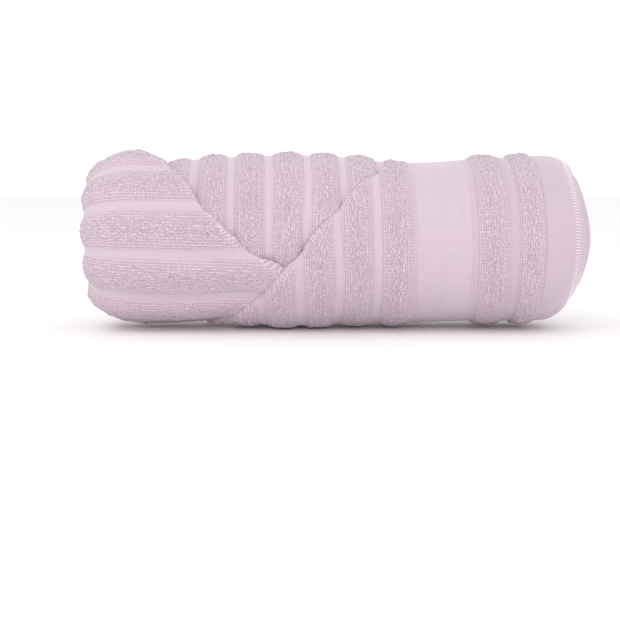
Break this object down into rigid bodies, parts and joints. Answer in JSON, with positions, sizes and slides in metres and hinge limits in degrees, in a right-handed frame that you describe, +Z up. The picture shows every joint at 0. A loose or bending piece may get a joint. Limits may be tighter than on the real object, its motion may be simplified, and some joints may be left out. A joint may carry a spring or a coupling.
{
  "type": "rolled bath towel",
  "caption": "Ribbed terry bath towel, one corner turned over, folded in half along its length and rolled up, with its end hem and flat woven border showing around one end.",
  "frame": {"origin": "centre of the roll's footprint, on the surface that it rests on", "axes": "+X along the roll towards the end with the woven border, +Z up, -Y is the front, where the two diagonal folds cross"},
  "size_m": [0.3806, 0.1369, 0.1336],
  "materials": {
    "terry": "looped cotton terry, matt",
    "flat_weave": "flat woven cotton, matt",
    "thread": "sewing thread, slight sheen"
  },
  "bodies": {
    "root": {"corner_flap_terry": "terry", "outer_border": "flat_weave", "outer_terry_band": "terry", "outer_end_hem": "flat_weave", "outer_hem_edge": "flat_weave", "outer_hem_stitches": "thread", "corner_flap_side_hem": "flat_weave", "tucked_terry": "terry", "under_half_wrap_terry": "terry", "under_half_wrap_side_hem": "flat_weave", "under_half_inner_terry": "terry", "under_half_inner_border": "flat_weave", "under_half_inner_terry_band": "terry", "under_half_inner_end_hem": "flat_weave", "under_half_side_hem": "flat_weave", "turned_half_wrap_terry": "terry", "turned_half_inner_terry": "terry", "turned_half_inner_border": "flat_weave", "turned_half_inner_terry_band": "terry", "turned_half_inner_end_hem": "flat_weave", "turned_half_side_hem": "flat_weave"}
  },
  "joints": []
}
